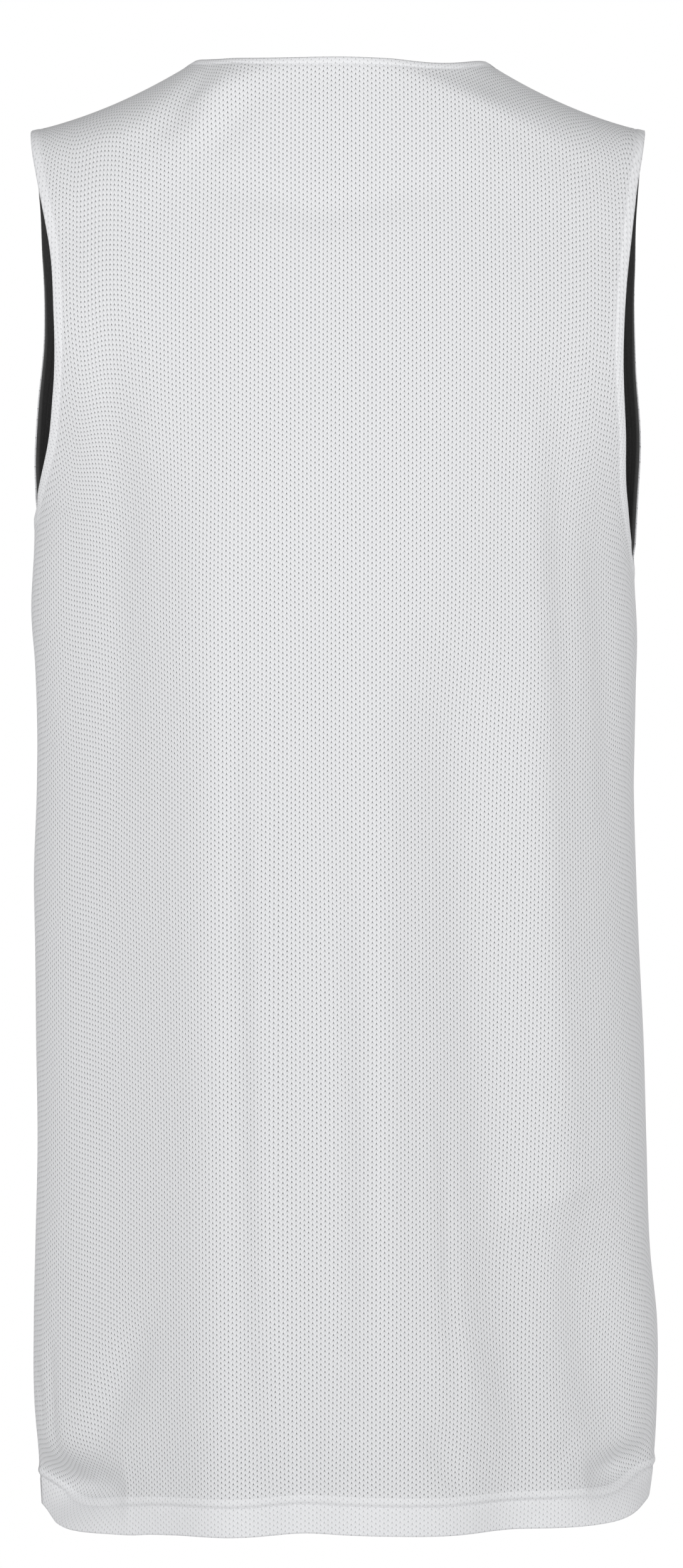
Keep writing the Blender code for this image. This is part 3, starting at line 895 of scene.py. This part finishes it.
def floor():
    """A plain pale floor that fades into the white surround."""
    corners = [(-1.0, -1.0), (1.0, -1.0), (1.0, 1.0), (-1.0, 1.0)]
    points = np.array([(x * FLOOR_RADIUS, y * FLOOR_RADIUS, FLOOR_HEIGHT) for x, y in corners])
    material = bpy.data.materials.new("floor")
    material.use_nodes = True
    wire = Wiring(material.node_tree)
    shader = material.node_tree.nodes["Principled BSDF"]
    place = wire.add("ShaderNodeTexCoord")
    apart = wire.add("ShaderNodeSeparateXYZ", Vector=place.outputs["Object"])
    x, y = apart.outputs["X"], apart.outputs["Y"]
    out = wire.math("SQRT", wire.total(wire.times(x, x), wire.times(y, y)))
    wire.give(shader.inputs["Alpha"], wire.ramp(out, FLOOR_SOLID, FLOOR_GONE, 1.0, 0.0))
    seen = wire.add("ShaderNodeLightPath").outputs["Is Camera Ray"]
    wire.give(shader.inputs["Emission Strength"], wire.times(seen, FLOOR_GLOW))
    shader.inputs["Emission Color"].default_value = grey(1.0)
    shader.inputs["Base Color"].default_value = grey(FLOOR_GREY)
    shader.inputs["Roughness"].default_value = FLOOR_ROUGHNESS
    shader.inputs["Specular IOR Level"].default_value = 0.0
    piece = new_mesh("floor", points, np.array([[0, 1, 2, 3]]), material)


def surround():
    """A white backdrop that lights the cloth more dimly, most dimly from overhead."""
    world = bpy.data.worlds.new("surround")
    world.use_nodes = True
    bpy.context.scene.world = world
    wire = Wiring(world.node_tree)
    place = wire.add("ShaderNodeTexCoord")
    apart = wire.add("ShaderNodeSeparateXYZ", Vector=place.outputs["Generated"])
    height, x = apart.outputs["Z"], apart.outputs["X"]
    above = wire.ramp(height, 0.0, ZENITH_HEIGHT, HORIZON, ZENITH)
    below = wire.ramp(height, NADIR_HEIGHT, HORIZON_FOOT, NADIR, HORIZON)
    level = wire.total(wire.math("MINIMUM", above, below), wire.times(x, x, SIDE_GLOW))
    seen = wire.add("ShaderNodeLightPath").outputs["Is Camera Ray"]
    background = world.node_tree.nodes["Background"]
    wire.give(background.inputs["Color"], wire.mix(seen, level, grey(1.0)))
    background.inputs["Strength"].default_value = 1.0


def soft_light(name, place, target, size, power):
    """A large soft light that faces a point."""
    data = bpy.data.lights.new(name, "AREA")
    data.shape = "DISK"
    data.size = size
    data.energy = power
    light = bpy.data.objects.new(name, data)
    light.location = place
    light.rotation_euler = (Vector(target) - Vector(place)).to_track_quat("-Z", "Y").to_euler()
    bpy.context.collection.objects.link(light)


CAMERA_PLACE = (0.0, 3.1, -0.396)
CAMERA_SENSOR = 36.0
CAMERA_LENS = 125.44
CAMERA_FAR = 100.0


def camera():
    """Level with the middle of the jersey, straight behind it."""
    data = bpy.data.cameras.new("camera")
    data.sensor_width = CAMERA_SENSOR
    data.lens = CAMERA_LENS
    data.clip_end = CAMERA_FAR
    view = bpy.data.objects.new("camera", data)
    view.location = CAMERA_PLACE
    view.rotation_euler = (math.radians(90.0), 0.0, math.radians(180.0))
    bpy.context.collection.objects.link(view)
    bpy.context.scene.camera = view


def jersey():
    """All four plies and their stitches."""
    # In both knits, light is the colour of the painted highlight and of the doubled cloth, dark
    # that of the painted shade
    white = knit(
        "white_knit",
        ground=cool(0.765),
        light=cool(0.93),
        dark=cool(0.59),
        eyelet=cool(0.17),
        turned_eyelet=cool(0.50),
        uneven=0.15,
    )
    black = knit(
        "black_knit",
        ground=grey(0.052),
        light=grey(0.066),
        dark=grey(0.043),
        eyelet=grey(0.120),
        turned_eyelet=grey(0.066),
        uneven=0.95,
    )
    cotton = thread("white_thread", level=0.74)
    skins = {panel: panel_skin(panel) for panel in (BACK, FRONT)}
    normals = shared_normals(skins)
    lining = PLY + PLY_GAP
    for panel, skin in skins.items():
        relief = turned_edges(skin)
        thinned = EDGE_THINNING * bell(skin.arm, 0.0, EDGE_THINNING_WIDTH)
        outer_depths = (-relief, PLY - thinned)
        inner_depths = (lining - thinned, np.full_like(relief, lining + PLY))
        outer = shell(panel + "_white_ply", panel, skin, normals[panel], outer_depths, 0.0, white)
        inner = shell(
            panel + "_black_ply", panel, skin, normals[panel], inner_depths, INNER_HEM_LIFT, black
        )
        seams = topstitch(panel + "_topstitch", skin, relief, cotton)
        for piece, colour, more in ((outer, "white", [seams]), (inner, "black", [])):
            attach(piece, "root")
            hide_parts(panel + "_" + colour)
        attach(seams, "root")


jersey()
floor()
surround()
soft_light("key", place=(0.10, 2.8, 0.60), target=(0.0, 0.0, -0.20), size=1.4, power=38.0)
soft_light("fill", place=(-0.30, -2.8, 0.30), target=(0.0, 0.0, -0.30), size=1.6, power=30.0)
camera()
bpy.context.scene.view_settings.view_transform = "Standard"
